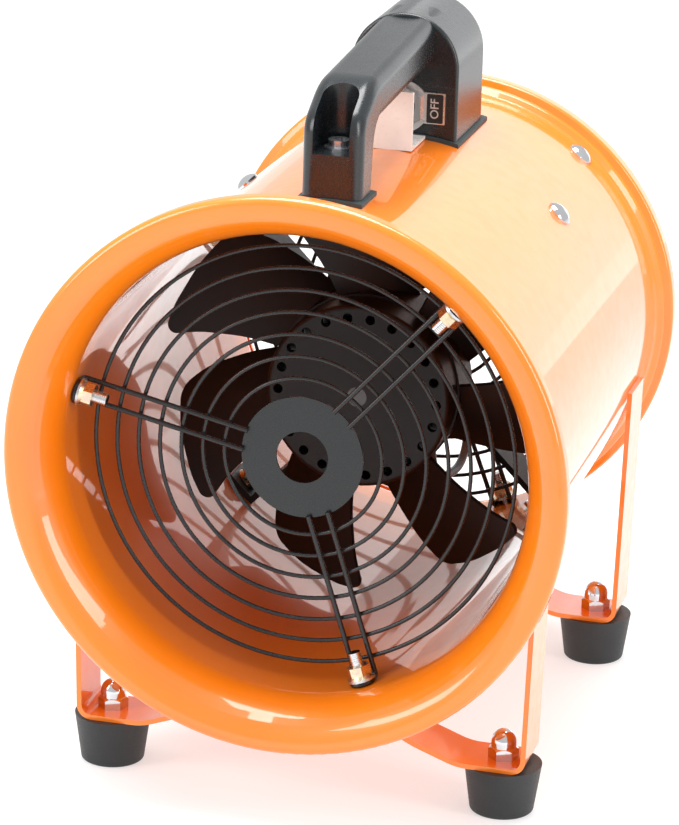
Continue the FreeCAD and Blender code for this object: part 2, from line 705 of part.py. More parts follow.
def handle_gaskets():
    """Rubber sheets between the moulding and the duct, under the front leg and under the switch box."""
    sheet = tube(SEAT_R, DUCT_R, -150, 150).translated(V(0, 0, AXIS_Z))
    half_front = GRIP_W / 2 + PAD_LIP
    half_rear = BOX_HALF_W + PAD_LIP
    front = box(-half_front, half_front, LEG_FRONT - PAD_LIP, LEG_BACK + PAD_LIP, 270, 320)
    rear = box(-half_rear, half_rear, BOX_FRONT - PAD_LIP, BOX_BACK + PAD_LIP, 270, 320)
    opening = box(-12, 12, BOX_FRONT + 8, BOX_BACK - 8, 260, 330)
    screws = [rod(M5_R, V(x, y, 270), V(x, y, 330)) for x, y in rear_screw_spots()]
    front_pad = sheet.common(front).cut(rod(M6_R, V(0, POCKET_Y, 270), V(0, POCKET_Y, 330)))
    return group([front_pad, sheet.common(rear).cut([opening] + screws)])


def handle_front_bolt():
    """Button-head bolt on a washer."""
    top = POCKET_FLOOR
    shank = rod(M6_R, V(0, POCKET_Y, AXIS_Z + BORE_R - 8), V(0, POCKET_Y, top))
    washer = rod(7.0, V(0, POCKET_Y, top), V(0, POCKET_Y, top + WASHER_T))
    head_top = top + WASHER_T + BUTTON_HEAD_H
    head = rod(BUTTON_HEAD_R, V(0, POCKET_Y, top + WASHER_T), V(0, POCKET_Y, head_top))
    socket = hexagon(BUTTON_SOCKET, V(0, POCKET_Y, head_top - BUTTON_SOCKET_DEPTH), V(0, POCKET_Y, head_top))
    return shank.fuse([washer, head]).cut(socket).removeSplitter()


def handle_front_nut():
    seat = V(0, POCKET_Y, AXIS_Z + BORE_R - 0.4)
    down = V(0, 0, -1)
    return hexagon(M6_HEX, seat, seat + down * 5).cut(rod(M6_R, seat - down, seat + down * 9))


def handle_rear_screw(x, y):
    """Screw from inside the duct up into a post of the moulding."""
    seat_z = AXIS_Z + math.sqrt(BORE_R ** 2 - (abs(x) + 4.4) ** 2)
    head = rod(4.4, V(x, y, seat_z - 3), V(x, y, seat_z))
    return head.fuse(rod(M5_R, V(x, y, seat_z), V(x, y, REAR_SCREW_TOP))).removeSplitter()


# Switch, shield and electrical parts

def switch_body():
    back_y = BOX_FRONT + BOX_WALL
    bushing = rod(BUSHING_R, V(0, BUSHING_TIP_Y, SWITCH_Z), V(0, back_y, SWITCH_Z))
    case = box(-8, 8, back_y, back_y + 22, SWITCH_Z - 12.5, SWITCH_Z + 12.5)
    case = case.makeFillet(1.2, [e for e in case.Edges if e.BoundBox.YLength > 20])
    bore = rod(BUSHING_BORE_R, V(0, BUSHING_TIP_Y - 1, SWITCH_Z), V(0, LEVER_PIVOT_Y + 6, SWITCH_Z))
    pivot = V(0, LEVER_PIVOT_Y, SWITCH_Z)
    socket = V(0, 0, LEVER_PIN_HALF + LEVER_PIN_END_GAP)
    pin_hole = rod(LEVER_PIN_R + LEVER_PIN_PLAY, pivot - socket, pivot + socket)
    tabs = [box(x - 0.4, x + 0.4, back_y + 22, back_y + 28, SWITCH_Z - 3, SWITCH_Z + 3) for x in (-4.5, 4.5)]
    return bushing.fuse([case] + tabs).cut([bore, pin_hole]).removeSplitter()


def switch_nut():
    seat_y = BOX_FRONT - LEGEND_T
    nut = hexagon(SWITCH_HEX, V(0, seat_y, SWITCH_Z), V(0, seat_y - 3, SWITCH_Z), 30.0)
    return nut.cut(rod(BUSHING_R, V(0, seat_y - 4, SWITCH_Z), V(0, seat_y, SWITCH_Z)))


def legend_plate():
    y = BOX_FRONT - LEGEND_T
    disc = rod(LEGEND_R, V(0, y, SWITCH_Z), V(0, BOX_FRONT, SWITCH_Z))
    tabs = box(-LEGEND_TAB_X, LEGEND_TAB_X, y, BOX_FRONT, SWITCH_Z - LEGEND_TAB_Z, SWITCH_Z + LEGEND_TAB_Z)
    return disc.fuse(tabs).cut(rod(BUSHING_R, V(0, y - 1, SWITCH_Z), V(0, BOX_FRONT + 1, SWITCH_Z))).removeSplitter()


def toggle_lever():
    """Bat lever on its pivot ball, leaning to the left, which is one end of its throw."""
    pivot = V(0, LEVER_PIVOT_Y, SWITCH_Z)
    ball = Part.makeSphere(LEVER_BALL_R, pivot)
    pin = rod(LEVER_PIN_R, pivot - V(0, 0, LEVER_PIN_HALF), pivot + V(0, 0, LEVER_PIN_HALF))
    stem = Part.makeCone(1.6, 2.5, LEVER_LENGTH, pivot, V(0, -1, 0))
    tip = Part.makeSphere(2.5, pivot + V(0, -LEVER_LENGTH, 0))
    lever = ball.fuse([pin, stem, tip]).removeSplitter()
    lever.rotate(pivot, V(0, 0, 1), -LEVER_TILT)
    return lever


def switch_guard():
    """Pale upright shield in front of the toggle, with a foot that lies on the duct."""
    foot_z = AXIS_Z + DUCT_R
    upright = box(-SHIELD_HALF_W, SHIELD_HALF_W, SHIELD_Y, SHIELD_Y + SHIELD_T, foot_z, SHIELD_TOP)
    foot = box(-SHIELD_HALF_W, SHIELD_HALF_W, SHIELD_Y + SHIELD_T, BOX_FRONT - PAD_LIP - 0.4, foot_z, foot_z + 1.5)
    return upright.fuse(foot).removeSplitter().cut(rod(2.0, V(0, 33, foot_z - 1), V(0, 33, foot_z + 3)))


def switch_guard_screw():
    foot_z = AXIS_Z + DUCT_R
    head = rod(3.6, V(0, 33, foot_z + 1.5), V(0, 33, foot_z + 3.4))
    return head.fuse(rod(2.0, V(0, 33, foot_z), V(0, 33, foot_z + 1.5))).removeSplitter()


def cable_gland():
    """Gland for the supply cord, in the back of the switch box."""
    centre = V(0, BOX_BACK, GLAND_Z)
    back = V(0, 1, 0)
    thread = rod(GLAND_THREAD_R, centre - back * (BOX_WALL + 3), centre)
    flats = hexagon(19.0, centre, centre + back * 5)
    dome = Part.makeCone(8.6, 6.4, 11, centre + back * 5, back)
    bore = rod(GLAND_BORE_R, centre - back * 20, centre + back * 30)
    return thread.fuse([flats, dome]).cut(bore).removeSplitter()


def gland_locknut():
    centre = V(0, BOX_BACK - BOX_WALL, GLAND_Z)
    nut = hexagon(18.0, centre, centre - V(0, 3, 0))
    return nut.cut(rod(GLAND_THREAD_R, centre - V(0, 9, 0), centre))


def terminal_block():
    x, y, z = LEAD_ROUTE[-1]
    base = AXIS_Z + z
    return box(x - 12, x + 12, y - 7, y + 7, base, base + 12)


def run_capacitor():
    x, y, z = LEAD_ROUTE[-1]
    base = AXIS_Z + z + 12
    case = box(x - 19, x + 19, y - 10, y + 10, base, base + 24)
    return case.makeFillet(3.0, [e for e in case.Edges if e.BoundBox.ZLength > 20])


def write_duct():
    save_local("duct_body", duct_body())
    save_local("front_bell", front_bell())
    save_local("rear_bell", rear_bell())


def write_legs():
    spots = [(x, y) for y in (-FOOT_Y, FOOT_Y) for x in (-FOOT_X, FOOT_X)]
    save("front_leg_bracket", leg_bracket(-FOOT_Y))
    save("rear_leg_bracket", leg_bracket(FOOT_Y))
    save("rubber_feet", group(rubber_foot(x, y) for x, y in spots))
    save("foot_bolts", group(foot_bolt(x, y) for x, y in spots))
    save("foot_acorn_nuts", group(acorn_nut(x, y) for x, y in spots))


def write_guards():
    for name, guard_y, side, turn in (("front", FRONT_GUARD_Y, -1, 0.0), ("rear", REAR_GUARD_Y, 1, REAR_GUARD_TURN)):
        save_local(f"{name}_guard_rings", guard_rings(guard_y, side))
        save_local(f"{name}_guard_disc", guard_disc(guard_y, side))
        save_local(f"{name}_guard_spokes", group(guard_spoke(guard_y, side, a + turn) for a in SPOKE_ANGLES))
    seat = BORE_R - 2 * SPOKE_WIRE - LOOP_OFF_WALL
    save_local("guard_bolts", group(wall_bolt(a, y, seat - GUARD_BOLT_REACH) for a, y in guard_bolt_spots()))
    save_local("guard_washers", group(wall_washer(a, y, seat) for a, y in guard_bolt_spots()))
    save_local("guard_nuts", group(wall_nut(a, y, seat - WASHER_T) for a, y in guard_bolt_spots()))


def write_impeller():
    spacing = 360.0 / BLADE_COUNT
    save_local("impeller_blades", group(impeller_blade(BLADE_FIRST_ANGLE + k * spacing) for k in range(BLADE_COUNT)))
    save_local("blade_ring", blade_ring())
    save_local("rotor_cup", rotor_cup())
    save_local("rotor_ring", rotor_ring())
    save_local("motor_shaft", motor_shaft())
    save_local("shaft_circlip", shaft_circlip())


def write_motor():
    foot_r = BORE_R - ARM_T
    nut_seat = math.sqrt(foot_r ** 2 - FLANGE_R ** 2)
    save_local("stator_carrier", stator_carrier())
    save_local("stator_core", stator_core())
    save_local("stator_windings", stator_windings())
    save_local("front_bearing", bearing(CARRIER_FRONT))
    save_local("rear_bearing", bearing(SHAFT_END - 2.5 - BEARING_W))
    save_local("motor_spider", motor_spider())
    save_local("spider_screws", group(spider_screw(90.0 * k) for k in range(4)))
    save_local("motor_arm_bolts", group(wall_bolt(a, ARM_Y, foot_r - 9) for a in ARM_ANGLES))
    save_local("motor_arm_nuts", group(wall_nut(a, ARM_Y, nut_seat) for a in ARM_ANGLES))
    save_local("motor_lead", motor_lead())
    save_local("motor_grommet", motor_grommet())
    save_local("duct_grommet", duct_grommet())


def write_handle():
    save("handle_moulding", handle_moulding())
    save("handle_gaskets", handle_gaskets())
    save("handle_front_bolt", handle_front_bolt())
    save("handle_front_nut", handle_front_nut())
    save("handle_rear_screws", group(handle_rear_screw(x, y) for x, y in rear_screw_spots()))


def write_switch():
    save("switch_body", switch_body())
    save("switch_nut", switch_nut())
    save("legend_plate", legend_plate())
    save("toggle_lever", toggle_lever())
    save("switch_guard", switch_guard())
    save("switch_guard_screw", switch_guard_screw())
    save("cable_gland", cable_gland())
    save("gland_locknut", gland_locknut())
    save("terminal_block", terminal_block())
    save("run_capacitor", run_capacitor())


os.makedirs("parts", exist_ok=True)
write_duct()
write_legs()
write_guards()
write_impeller()
write_motor()
write_handle()
write_switch()
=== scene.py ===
import json
import math

import bmesh
import bpy
from mathutils import Matrix, Vector


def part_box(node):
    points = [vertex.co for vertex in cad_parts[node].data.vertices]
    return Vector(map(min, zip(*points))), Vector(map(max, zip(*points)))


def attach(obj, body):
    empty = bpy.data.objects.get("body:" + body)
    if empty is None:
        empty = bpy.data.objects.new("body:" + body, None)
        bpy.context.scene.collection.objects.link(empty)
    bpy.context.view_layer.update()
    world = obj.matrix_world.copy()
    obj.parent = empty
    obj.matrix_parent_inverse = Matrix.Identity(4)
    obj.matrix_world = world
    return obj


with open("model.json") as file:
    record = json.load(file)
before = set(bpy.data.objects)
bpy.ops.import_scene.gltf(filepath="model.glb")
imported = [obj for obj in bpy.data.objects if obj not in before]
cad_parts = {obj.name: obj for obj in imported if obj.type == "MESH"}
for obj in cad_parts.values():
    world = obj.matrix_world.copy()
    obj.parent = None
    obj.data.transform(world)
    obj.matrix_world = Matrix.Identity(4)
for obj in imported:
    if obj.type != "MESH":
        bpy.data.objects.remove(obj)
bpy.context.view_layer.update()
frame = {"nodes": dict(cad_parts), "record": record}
NODES = frame["nodes"]

# Metres. The duct's axis runs along Y at AXIS_Z; -Y is the intake mouth.
TUBE_LOW, TUBE_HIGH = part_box("duct_body")
AXIS_Z = (TUBE_LOW.z + TUBE_HIGH.z) / 2
DUCT_R = (TUBE_HIGH.x - TUBE_LOW.x) / 2

# Guards
RING_COUNT = 8
RING_OUTER = 0.1037
RING_PITCH = 0.0108
RING_DISH = 0.001
SPOKE_HALF_GAP = 0.005
DISC_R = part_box("front_guard_disc")[1].x
GUARDS = {
    "front": {"angles": (48.0, 168.0, 288.0), "side": -1},
    "rear": {"angles": (51.0, 171.0, 291.0), "side": 1},
}

# Weld dabs
DAB_R = 0.0014
DAB_FLATNESS = 0.7

# Bolts that show their threads inside the duct
STUD_R = 0.0029
STUD_END_R = 0.0974
BOLT_HEAD_R = 0.0068
THREAD_PITCH = 0.0010
THREAD_TURNS = 6
THREAD_START = 0.6
CREST_R = 0.00022

# Switch legend
LEGEND_RELIEF = 0.00008
LEGEND_BORDER = 0.0010
LEGEND_PANEL_W = 0.0085
LEGEND_PANEL_H = 0.0150
LEGEND_CORNER = 0.0008
LEGEND_TEXT = 0.0060
LEGEND_BOLDNESS = 0.012
CORNER_STEPS = 4

# Camera
CAMERA_AZIMUTH = 14.863
CAMERA_ELEVATION = 18.057
CAMERA_ROLL = 1.591
CAMERA_DISTANCE = 2.0647
CAMERA_TARGET = Vector((-0.01605, 0.0, 0.15651))
CAMERA_LENS = 178.0
CAMERA_REACH = 50.0

# Studio: place, width, height and watts of each soft box
SOFT_BOXES = {
    "overhead_box": ((-0.1, 0.1, 1.7), 1.3, 0.8, 34.0),
    "left_box": ((-1.5, -1.3, 1.1), 0.7, 1.3, 18.0),
    "right_box": ((1.7, -0.6, 0.8), 0.45, 1.3, 13.0),
    "back_box": ((0.5, 2.2, 0.5), 2.2, 1.4, 9.0),
}
LIGHT_AIM = Vector((0.0, 0.0, 0.17))
ROOM_LIGHT = 0.76
FLOOR_HALF = 12.0
FLOOR_GREY = 0.5
FLOOR_GLOW = 0.55


def placed(name, data):
    piece = bpy.data.objects.new(name, data)
    bpy.context.scene.collection.objects.link(piece)
    return piece


# Node helpers

def link(tree, source, target):
    tree.links.new(source, target)


def socket_value(node, values):
    for name, value in values.items():
        node.inputs[name].default_value = value


def shader_node(tree, kind, **values):
    node = tree.nodes.new(kind)
    socket_value(node, values)
    return node


def product(tree, first, second):
    node = tree.nodes.new("ShaderNodeMath")
    node.operation = "MULTIPLY"
    link(tree, first, node.inputs[0])
    link(tree, second, node.inputs[1])
    return node.outputs[0]


def colour_sockets(sockets, name):
    return [s for s in sockets if s.name == name and s.type == "RGBA"][0]


def mixed_colour(tree, factor, first, second):
    """A mix from first to second; either may be a socket or a plain colour."""
    node = tree.nodes.new("ShaderNodeMix")
    node.data_type = "RGBA"
    link(tree, factor, node.inputs["Factor"])
    for name, value in (("A", first), ("B", second)):
        slot = colour_sockets(node.inputs, name)
        if isinstance(value, bpy.types.NodeSocket):
            link(tree, value, slot)
        else:
            slot.default_value = (*value, 1.0)
    return colour_sockets(node.outputs, "Result")


def ranged(tree, source, low, high, out_low, out_high):
    """The source's low-to-high stretch, moved to out_low-to-out_high and clamped there."""
    limits = {"From Min": low, "From Max": high, "To Min": out_low, "To Max": out_high}
    node = shader_node(tree, "ShaderNodeMapRange", **limits)
    link(tree, source, node.inputs["Value"])
    return node.outputs["Result"]


# Shader groups that several finishes share

def new_group(name, inputs, outputs):
    """An empty shader group with float inputs {name: default} and named float outputs."""
    group = bpy.data.node_groups.new(name, "ShaderNodeTree")
    for socket, default in inputs.items():
        made = group.interface.new_socket(name=socket, in_out="INPUT", socket_type="NodeSocketFloat")
        made.default_value = default
    for socket in outputs:
        group.interface.new_socket(name=socket, in_out="OUTPUT", socket_type="NodeSocketFloat")
    start = group.nodes.new("NodeGroupInput")
    end = group.nodes.new("NodeGroupOutput")
    coordinates = group.nodes.new("ShaderNodeTexCoord").outputs["Object"]
    return group, start, end, coordinates


def group_noise(group, place, scale, detail, low, high):
    """Noise whose scale is a group input, with its low-to-high stretch moved to 0-to-1."""
    texture = shader_node(group, "ShaderNodeTexNoise", Detail=detail)
    link(group, place, texture.inputs["Vector"])
    link(group, scale, texture.inputs["Scale"])
    return ranged(group, texture.outputs["Fac"], low, high, 0.0, 1.0)


def cloud_and_grain_group():
    """Slow cloudy variation, and a fine grain, both from 0 to 1."""
    group, start, end, place = new_group(
        "cloud_and_grain", {"Cloud Scale": 12.0, "Grain Scale": 900.0}, ("Cloud", "Grain"))
    for output, detail in (("Cloud", 4.0), ("Grain", 2.0)):
        pattern = group_noise(group, place, start.outputs[f"{output} Scale"], detail, 0.3, 0.7)
        link(group, pattern, end.inputs[output])
    return group


def settled_dust_group():
    """Dust that lies on what faces up, broken by noise."""
    group, start, end, place = new_group("settled_dust", {"Amount": 0.3, "Scale": 60.0}, ("Mask",))
    normal = group.nodes.new("ShaderNodeNewGeometry").outputs["Normal"]
    split = group.nodes.new("ShaderNodeSeparateXYZ")
    link(group, normal, split.inputs["Vector"])
    upward = ranged(group, split.outputs["Z"], 0.2, 1.0, 0.0, 1.0)
    patches = group_noise(group, place, start.outputs["Scale"], 6.0, 0.35, 0.7)
    covered = product(group, upward, patches)
    link(group, product(group, covered, start.outputs["Amount"]), end.inputs["Mask"])
    return group


def hairline_group():
    """Short hairline scratches, as a mask that is 1 in the scratch."""
    group, start, end, place = new_group("hairlines", {"Scale": 40.0, "Amount": 0.5}, ("Mask",))
    turned = shader_node(group, "ShaderNodeMapping")
    turned.inputs["Rotation"].default_value = (0.4, 0.7, 0.2)
    turned.inputs["Scale"].default_value = (1.0, 14.0, 14.0)
    link(group, place, turned.inputs["Vector"])
    lines = group_noise(group, turned.outputs["Vector"], start.outputs["Scale"], 3.0, 0.66, 0.7)
    link(group, product(group, lines, start.outputs["Amount"]), end.inputs["Mask"])
    return group


CLOUD_AND_GRAIN = cloud_and_grain_group()
SETTLED_DUST = settled_dust_group()
HAIRLINES = hairline_group()


def placed_group(tree, group, **values):
    node = tree.nodes.new("ShaderNodeGroup")
    node.node_tree = group
    for name, value in values.items():
        node.inputs[name.replace("_", " ")].default_value = value
    return node.outputs


def bumped(tree, bsdf, height, strength, distance):
    bump = shader_node(tree, "ShaderNodeBump", Strength=strength, Distance=distance)
    link(tree, height, bump.inputs["Height"])
    link(tree, bump.outputs["Normal"], bsdf.inputs["Normal"])


def new_finish(name, **values):
    """A material with one Principled shader, whose even values are set on its own sockets."""
    material = bpy.data.materials.new(name)
    material.use_nodes = True
    tree = material.node_tree
    bsdf = tree.nodes["Principled BSDF"]
    socket_value(bsdf, values)
    return material, tree, bsdf


# Finishes

def two_tone_finish(name, dark, light, rough, cloud=12.0, grain=900.0, grain_depth=0.00002,
                    grain_strength=0.3, **values):
    """The base of most finishes: a cloudy colour, a roughness that follows the grain, and a fine bump."""
    material, tree, bsdf = new_finish(name, **values)
    parts = placed_group(tree, CLOUD_AND_GRAIN, Cloud_Scale=cloud, Grain_Scale=grain)
    colour = mixed_colour(tree, parts["Cloud"], dark, light)
    roughness = ranged(tree, parts["Grain"], 0.0, 1.0, rough[0], rough[1])
    link(tree, roughness, bsdf.inputs["Roughness"])
    bumped(tree, bsdf, parts["Grain"], grain_strength, grain_depth)
    return material, tree, bsdf, colour


def clean_finish(name, *tones, **values):
    """A two-tone finish with nothing on it."""
    material, tree, bsdf, colour = two_tone_finish(name, *tones, **values)
    link(tree, colour, bsdf.inputs["Base Color"])
    return material


def dusted(tree, bsdf, colour, dust, amount, scale):
    mask = placed_group(tree, SETTLED_DUST, Amount=amount, Scale=scale)["Mask"]
    link(tree, mixed_colour(tree, mask, colour, dust), bsdf.inputs["Base Color"])


def orange_enamel():
    """Gloss enamel on sheet steel: a clear, slightly wavy skin over an even orange."""
    material, tree, bsdf = new_finish(
        "orange_enamel", **{"Coat Weight": 1.0, "Coat Roughness": 0.03, "Coat IOR": 1.5, "IOR": 1.5})
    parts = placed_group(tree, CLOUD_AND_GRAIN, Cloud_Scale=7.0, Grain_Scale=130.0)
    colour = mixed_colour(tree, parts["Cloud"], (0.88, 0.190, 0.002), (0.93, 0.230, 0.003))
    link(tree, ranged(tree, parts["Grain"], 0.0, 1.0, 0.30, 0.38), bsdf.inputs["Roughness"])
    dusted(tree, bsdf, colour, (0.80, 0.36, 0.10), 0.04, 30.0)
    bumped(tree, bsdf, parts["Grain"], 0.04, 0.0001)
    return material


def coated_wire():
    material, tree, bsdf, colour = two_tone_finish(
        "coated_wire", (0.006, 0.008, 0.009), (0.011, 0.013, 0.015), (0.22, 0.34), grain=1400.0, IOR=1.5)
    dusted(tree, bsdf, colour, (0.05, 0.05, 0.05), 0.12, 120.0)
    return material


def impeller_black():
    material, tree, bsdf, colour = two_tone_finish(
        "impeller_black", (0.004, 0.004, 0.004), (0.009, 0.008, 0.008), (0.36, 0.52),
        cloud=20.0, grain=1100.0, grain_depth=0.00004, IOR=1.45)
    dusted(tree, bsdf, colour, (0.05, 0.042, 0.038), 0.12, 90.0)
    return material


def moulded_black():
    """Satin moulded plastic with a spark-eroded grain."""
    material, tree, bsdf, colour = two_tone_finish(
        "moulded_black", (0.008, 0.011, 0.013), (0.013, 0.017, 0.020), (0.20, 0.30), cloud=25.0, grain=1500.0,
        grain_depth=0.00003, grain_strength=0.25, IOR=1.55)
    hair = placed_group(tree, HAIRLINES, Scale=45.0, Amount=0.3)["Mask"]
    worn = mixed_colour(tree, hair, colour, (0.035, 0.04, 0.043))
    dusted(tree, bsdf, worn, (0.10, 0.11, 0.115), 0.06, 130.0)
    return material


def foot_rubber():
    material, tree, bsdf, colour = two_tone_finish(
        "foot_rubber", (0.014, 0.016, 0.017), (0.024, 0.027, 0.029), (0.42, 0.58), cloud=40.0, grain=1300.0,
        grain_depth=0.00006, grain_strength=0.4, IOR=1.5)
    dusted(tree, bsdf, colour, (0.12, 0.12, 0.12), 0.2, 150.0)
    return material


def metal_finish(name, dark, light, rough, grain=700.0, hairs=0.4):
    """Bare or plated metal with short hairline scratches."""
    material, tree, bsdf, colour = two_tone_finish(
        name, dark, light, rough, cloud=60.0, grain=grain, grain_strength=0.2, Metallic=1.0)
    hair = placed_group(tree, HAIRLINES, Scale=120.0, Amount=hairs)["Mask"]
    link(tree, mixed_colour(tree, hair, colour, tuple(0.6 * c for c in dark)), bsdf.inputs["Base Color"])
    return material


def yellow_zinc():
    """Passivated zinc: yellow with rose drifts."""
    material, tree, bsdf, colour = two_tone_finish(
        "yellow_zinc", (0.62, 0.50, 0.30), (0.80, 0.71, 0.52), (0.22, 0.36), cloud=170.0, Metallic=1.0)
    drifts = shader_node(tree, "ShaderNodeTexNoise", Scale=240.0, Detail=3.0)
    link(tree, tree.nodes.new("ShaderNodeTexCoord").outputs["Object"], drifts.inputs["Vector"])
    drift = ranged(tree, drifts.outputs["Fac"], 0.52, 0.66, 0.0, 0.7)
    link(tree, mixed_colour(tree, drift, colour, (0.74, 0.50, 0.44)), bsdf.inputs["Base Color"])
    return material


def winding_copper():
    """Varnished wire, wound side by side."""
    material, tree, bsdf, colour = two_tone_finish(
        "winding_copper", (0.42, 0.13, 0.05), (0.60, 0.22, 0.09), (0.28, 0.42), cloud=120.0, Metallic=1.0)
    waves = shader_node(tree, "ShaderNodeTexWave", Scale=260.0, Distortion=1.5)
    link(tree, tree.nodes.new("ShaderNodeTexCoord").outputs["Object"], waves.inputs["Vector"])
    bumped(tree, bsdf, waves.outputs["Fac"], 0.6, 0.0002)
    link(tree, colour, bsdf.inputs["Base Color"])
    return material


def pale_plate():
    # The pale pinkish-white base colour is a painted reflection: it stands in for white softbox glare on an
    # orange-painted plate.
    material, tree, bsdf, colour = two_tone_finish(
        "pale_plate", (0.80, 0.75, 0.70), (0.88, 0.84, 0.80), (0.25, 0.36), cloud=50.0, grain=500.0, IOR=1.5)
    dusted(tree, bsdf, colour, (0.72, 0.60, 0.50), 0.25, 90.0)
    return material


FINISHES = {
    "duct_paint": orange_enamel(),
    "black_wire": coated_wire(),
    "impeller_black": impeller_black(),
    "bright_chrome": metal_finish("bright_chrome", (0.62, 0.63, 0.65), (0.72, 0.73, 0.75), (0.07, 0.13),
                                  hairs=0.3),
    "yellow_zinc": yellow_zinc(),
    "zinc_steel": metal_finish("zinc_steel", (0.56, 0.58, 0.61), (0.70, 0.71, 0.73), (0.24, 0.36)),
    "plain_steel": metal_finish("plain_steel", (0.10, 0.10, 0.10), (0.17, 0.17, 0.17), (0.34, 0.46)),
    "copper": winding_copper(),
    "handle_plastic": moulded_black(),
    "black_rubber": foot_rubber(),
    "grey_rubber": clean_finish("gasket_rubber", (0.020, 0.035, 0.038), (0.035, 0.055, 0.058), (0.5, 0.65),
                                grain=1200.0, grain_depth=0.00005),
    "lead_jacket": clean_finish("lead_jacket", (0.16, 0.24, 0.30), (0.22, 0.31, 0.37), (0.22, 0.32),
                                cloud=70.0, grain=1500.0, IOR=1.5),
    "legend_metal": metal_finish("legend_silver", (0.74, 0.74, 0.75), (0.84, 0.84, 0.85), (0.26, 0.34),
                                 grain=500.0, hairs=0.2),
    "pale_plate": pale_plate(),
    "grey_plastic": clean_finish("grey_plastic", (0.50, 0.50, 0.47), (0.58, 0.58, 0.55), (0.3, 0.42),
                                 cloud=60.0, IOR=1.47),
}
LEGEND_INK = clean_finish("legend_ink", (0.006, 0.006, 0.007), (0.012, 0.012, 0.012), (0.35, 0.5),
                          grain=1500.0)


def dress_cad_nodes():
    slots = {s["node"]: s["material_slot"] for s in frame["record"]["subparts"]}
    for name, node in NODES.items():
        node.data.materials.clear()
        node.data.materials.append(FINISHES[slots[name]])


# Pieces made by Geometry Nodes

def tree_with_inputs(name, sizes):
    """A Geometry Nodes tree with named float inputs: the tree, its input node and a function that ends it."""
    tree = bpy.data.node_groups.new(name, "GeometryNodeTree")
    tree.interface.new_socket(name="Geometry", in_out="INPUT", socket_type="NodeSocketGeometry")
    for socket, value in sizes.items():
        made = tree.interface.new_socket(name=socket, in_out="INPUT", socket_type="NodeSocketFloat")
        made.default_value = value
    tree.interface.new_socket(name="Geometry", in_out="OUTPUT", socket_type="NodeSocketGeometry")
    start = tree.nodes.new("NodeGroupInput")
    end = tree.nodes.new("NodeGroupOutput")

    def close(instances, finish):
        real = tree.nodes.new("GeometryNodeRealizeInstances")
        paint = tree.nodes.new("GeometryNodeSetMaterial")
        paint.inputs["Material"].default_value = finish
        link(tree, instances, real.inputs["Geometry"])
        link(tree, real.outputs["Geometry"], paint.inputs["Geometry"])
        link(tree, paint.outputs["Geometry"], end.inputs["Geometry"])

    return tree, start, close


def seed_points(name, spots):
    """A mesh of loose points, each with the direction that its copy's Z takes."""
    mesh = bpy.data.meshes.new(name)
    mesh.from_pydata([place for place, _ in spots], [], [])
    facing = mesh.attributes.new("facing", "FLOAT_VECTOR", "POINT")
    facing.data.foreach_set("vector", [c for _, direction in spots for c in direction])
    return placed(name, mesh)


def copies_on_points(tree, start, shape):
    """Instances of shape on the seed points, each turned to its facing."""
    spread = tree.nodes.new("GeometryNodeInstanceOnPoints")
    facing = tree.nodes.new("GeometryNodeInputNamedAttribute")
    facing.data_type = "FLOAT_VECTOR"
    facing.inputs["Name"].default_value = "facing"
    turn = tree.nodes.new("FunctionNodeAlignRotationToVector")
    turn.axis = "Z"
    link(tree, facing.outputs["Attribute"], turn.inputs["Vector"])
    link(tree, start.outputs["Geometry"], spread.inputs["Points"])
    link(tree, shape, spread.inputs["Instance"])
    link(tree, turn.outputs["Rotation"], spread.inputs["Rotation"])
    return spread.outputs["Instances"]


def built_by(piece, tree, body):
    """Turn the tree's result into a plain mesh that rides on a body."""
    modifier = piece.modifiers.new("build", "NODES")
    modifier.node_group = tree
    for item in tree.interface.items_tree:
        if item.in_out == "INPUT" and item.socket_type == "NodeSocketFloat":
            modifier[item.identifier] = item.default_value
    bpy.context.view_layer.update()
    made = bpy.data.meshes.new_from_object(piece.evaluated_get(bpy.context.evaluated_depsgraph_get()))
    piece.modifiers.remove(modifier)
    piece.data = made
    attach(piece, body)
    return piece


def on_wheel(radius, degrees, y, across=0.0):
    """A point round the duct's axis; across moves it square to its radius."""
    angle = math.radians(degrees)
    x = radius * math.cos(angle) - across * math.sin(angle)
    z = radius * math.sin(angle) + across * math.cos(angle)
    return Vector((x, y, AXIS_Z + z))


def guard_weld_spots(guard):
    """Where the spokes of a guard cross its rings."""
    low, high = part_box(f"{guard}_guard_rings")
    side = GUARDS[guard]["side"]
    rings_outer_y = low.y if side < 0 else high.y
    spots = []
    for angle in GUARDS[guard]["angles"]:
        for k in range(RING_COUNT - 1):
            r = RING_OUTER - k * RING_PITCH
            rise = (RING_OUTER - r) / (RING_OUTER - DISC_R) * RING_DISH
            y = rings_outer_y + side * (rise - RING_DISH)
            for across in (-SPOKE_HALF_GAP, SPOKE_HALF_GAP):
                along = math.sqrt(r * r - across * across)
                spots.append((on_wheel(along, angle, y, across), (0.0, side, 0.0)))
    return spots


def guard_weld_dabs():
    """Flattened dabs of weld metal, coated with the wire."""
    tree, start, close = tree_with_inputs("weld_dab_builder", {"Dab Radius": DAB_R, "Flatness": DAB_FLATNESS})
    ball = tree.nodes.new("GeometryNodeMeshIcoSphere")
    ball.inputs["Subdivisions"].default_value = 2
    link(tree, start.outputs["Dab Radius"], ball.inputs["Radius"])
    squeeze = tree.nodes.new("GeometryNodeTransform")
    shape = tree.nodes.new("ShaderNodeCombineXYZ")
    shape.inputs["X"].default_value = 1.0
    shape.inputs["Y"].default_value = 1.0
    link(tree, start.outputs["Flatness"], shape.inputs["Z"])
    link(tree, ball.outputs["Mesh"], squeeze.inputs["Geometry"])
    link(tree, shape.outputs["Vector"], squeeze.inputs["Scale"])
    close(copies_on_points(tree, start, squeeze.outputs["Geometry"]), FINISHES["black_wire"])
    for guard in GUARDS:
        piece = seed_points(f"{guard}_guard_weld_dabs", guard_weld_spots(guard))
        built_by(piece, tree, "frame")


